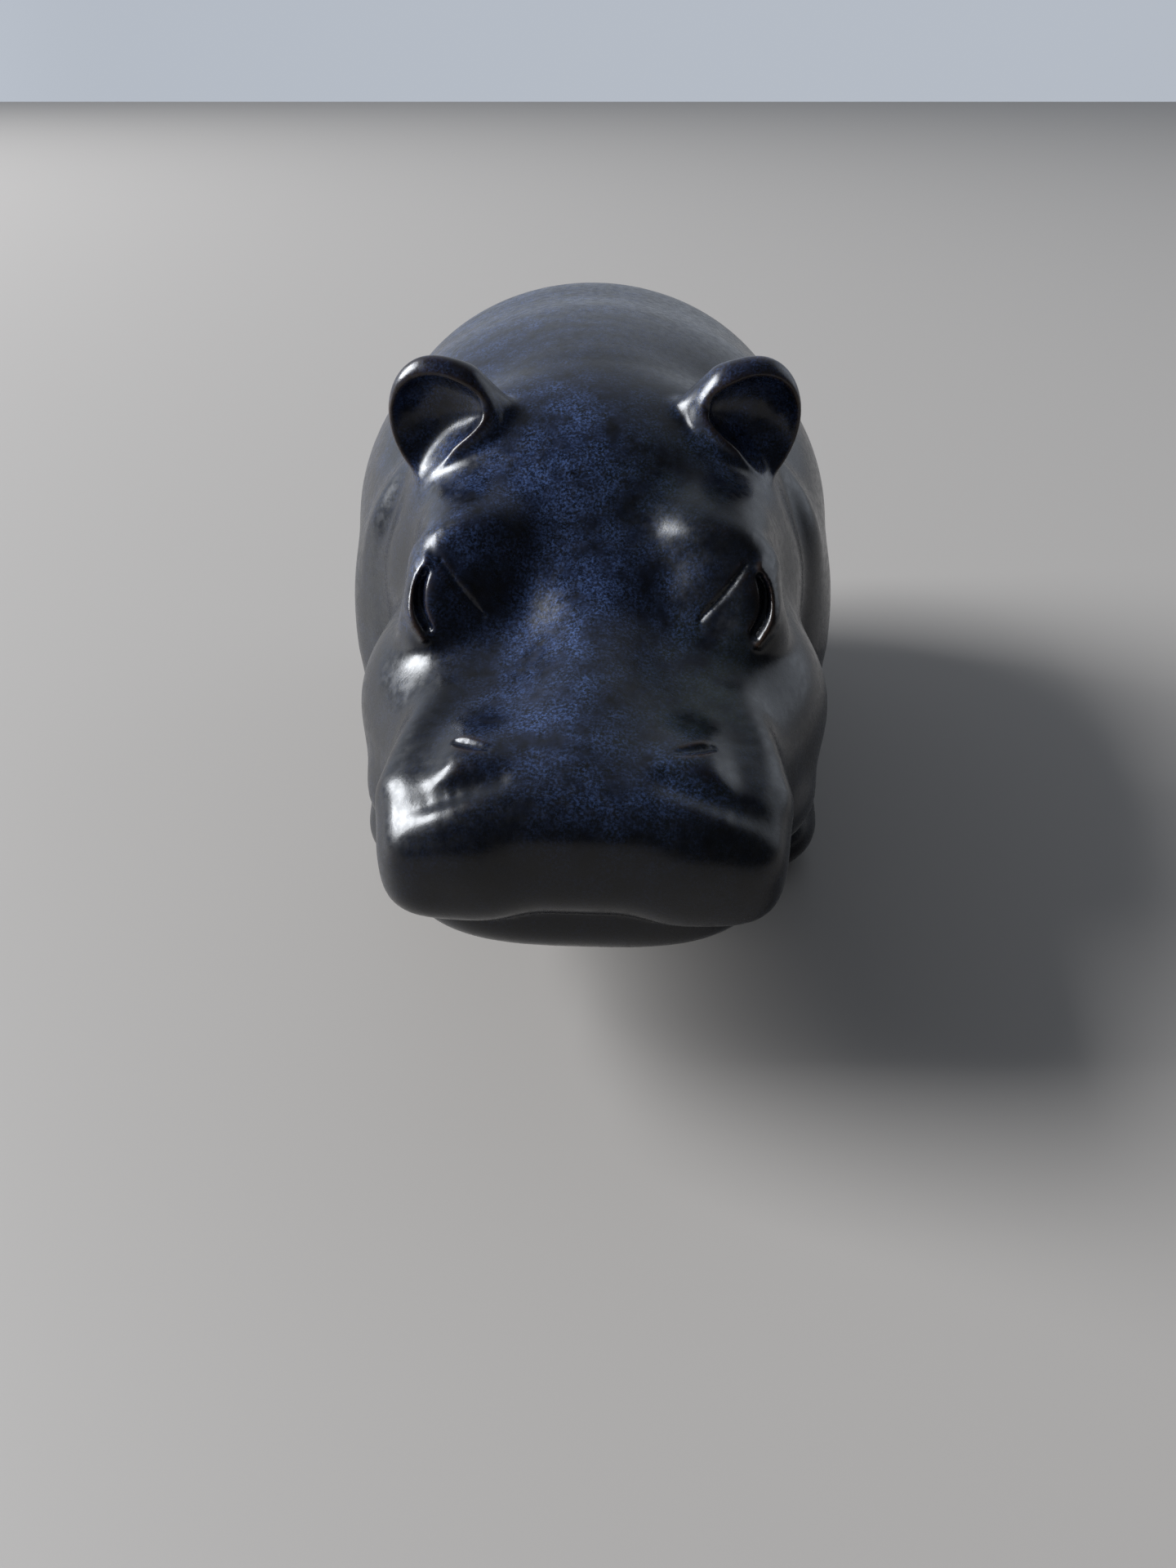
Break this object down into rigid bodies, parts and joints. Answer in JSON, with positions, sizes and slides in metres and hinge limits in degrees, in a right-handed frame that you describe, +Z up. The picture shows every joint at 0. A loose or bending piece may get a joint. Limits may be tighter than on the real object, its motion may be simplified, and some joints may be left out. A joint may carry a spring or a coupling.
{
  "type": "hippo figurine",
  "caption": "Standing ceramic hippo with a dark blue glaze, long broad muzzle, small upright ears and stout legs.",
  "frame": {"origin": "middle of the footprint, on the plane the feet stand on", "axes": "+Z up, +Y from the muzzle to the rump, +X to the right of someone facing the muzzle"},
  "size_m": [0.0778, 0.1506, 0.075],
  "materials": {
    "glaze": "glossy near-black cobalt glaze, speckled blue, brownish where it thins over edges"
  },
  "bodies": {
    "root": {"hippo": "glaze"}
  },
  "joints": []
}
